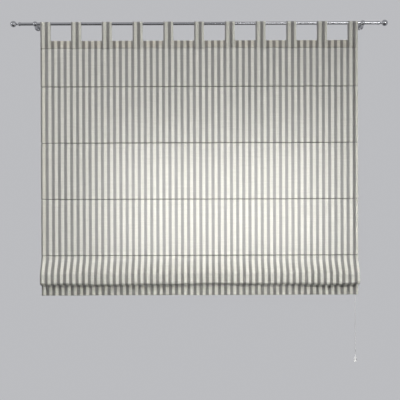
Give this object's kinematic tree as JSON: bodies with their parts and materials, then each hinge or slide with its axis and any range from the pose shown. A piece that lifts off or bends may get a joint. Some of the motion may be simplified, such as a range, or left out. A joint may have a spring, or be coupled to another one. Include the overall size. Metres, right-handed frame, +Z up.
{
  "type": "roman blind",
  "caption": "Striped roman blind hung by cloth tabs on a steel curtain rod with ball finials, partly drawn up with a fold at the bottom, with a pull cord ending in a bell.",
  "frame": {"origin": "on the wall, midway between the two wall plates, at the height of the rod", "axes": "+X along the rod to the viewer's right, +Y into the wall, +Z up"},
  "size_m": [1.906, 0.1266, 1.731],
  "materials": {
    "striped_cloth": "plain woven cotton, cream and taupe stripes",
    "pocket_tape": "woven tape",
    "steel": "polished",
    "wood": "planed pine",
    "fibreglass": "drawn rod",
    "white_plastic": "moulded",
    "cord": "braided",
    "bar": "mill finish"
  },
  "bodies": {
    "header": {"curtain_rod": "steel", "finial_left": "steel", "finial_right": "steel", "wall_plate_left": "steel", "wall_plate_right": "steel", "bracket_arm_left": "steel", "bracket_arm_right": "steel", "set_screws": "steel", "tab_01": "striped_cloth", "tab_02": "striped_cloth", "tab_03": "striped_cloth", "tab_04": "striped_cloth", "tab_05": "striped_cloth", "tab_06": "striped_cloth", "tab_07": "striped_cloth", "tab_08": "striped_cloth", "tab_09": "striped_cloth", "tab_10": "striped_cloth", "tab_11": "striped_cloth", "cloth_header": "striped_cloth", "header_batten": "wood", "cord_eyes": "steel", "header_cords": "cord", "lock_housing": "white_plastic", "lock_guide_pin": "steel", "lock_cam_pin": "steel", "lock_screws": "steel", "cloth_section_1": "striped_cloth", "lift_cords_1": "cord", "pull_strands": "cord"},
    "cam": {"lock_cam": "white_plastic"},
    "row_1": {"pocket_1": "pocket_tape", "stiffener_1": "fibreglass", "rings_1": "white_plastic", "cloth_section_2": "striped_cloth", "lift_cords_2": "cord"},
    "row_2": {"pocket_2": "pocket_tape", "stiffener_2": "fibreglass", "rings_2": "white_plastic", "cloth_section_3": "striped_cloth", "lift_cords_3": "cord"},
    "row_3": {"pocket_3": "pocket_tape", "stiffener_3": "fibreglass", "rings_3": "white_plastic", "cloth_section_4": "striped_cloth", "lift_cords_4": "cord"},
    "row_4": {"pocket_4": "pocket_tape", "stiffener_4": "fibreglass", "rings_4": "white_plastic", "cloth_fold": "striped_cloth", "lift_cords_5": "cord"},
    "hem_row": {"pocket_5": "pocket_tape", "stiffener_5": "fibreglass", "rings_5": "white_plastic", "cord_hitches": "cord", "cloth_hem": "striped_cloth", "bottom_bar": "bar"},
    "pull_weight": {"cord_joiner": "white_plastic", "pull_cord": "cord", "bell": "white_plastic"}
  },
  "joints": [
    {"name": "raise_1", "type": "slide", "parent": "header", "child": "row_1", "axis": [0, 0, 1], "range_m": [0, 0.174], "deforming": ["cloth_section_1", "lift_cords_1"]},
    {"name": "raise_2", "type": "slide", "parent": "row_1", "child": "row_2", "axis": [0, 0, 1], "range_m": [0, 0.26401], "deforming": ["cloth_section_2", "lift_cords_2"]},
    {"name": "raise_3", "type": "slide", "parent": "row_2", "child": "row_3", "axis": [0, 0, 1], "range_m": [0, 0.26401], "deforming": ["cloth_section_3", "lift_cords_3"]},
    {"name": "raise_4", "type": "slide", "parent": "row_3", "child": "row_4", "axis": [0, 0, 1], "range_m": [0, 0.26401], "deforming": ["cloth_section_4", "lift_cords_4"]},
    {"name": "let_down", "type": "slide", "parent": "row_4", "child": "hem_row", "axis": [0, 0, -1], "range_m": [0, 0.23], "deforming": ["cloth_fold", "lift_cords_5"]},
    {"name": "pull", "type": "slide", "parent": "header", "child": "pull_weight", "axis": [0, 0, -1], "range_m": [0, 0.96601], "deforming": ["pull_strands"]},
    {"name": "lock_release", "type": "hinge", "parent": "header", "child": "cam", "pos_m": [0.776, -0.0632, -0.1269], "axis": [0, 1, 0], "range_deg": [0, 30]}
  ],
  "couplings": [
    {"joint": "raise_2", "follows": "raise_1", "ratio": 1.5172},
    {"joint": "raise_3", "follows": "raise_1", "ratio": 1.5172},
    {"joint": "raise_4", "follows": "raise_1", "ratio": 1.5172},
    {"joint": "pull", "follows": "raise_1", "ratio": 5.5517}
  ]
}
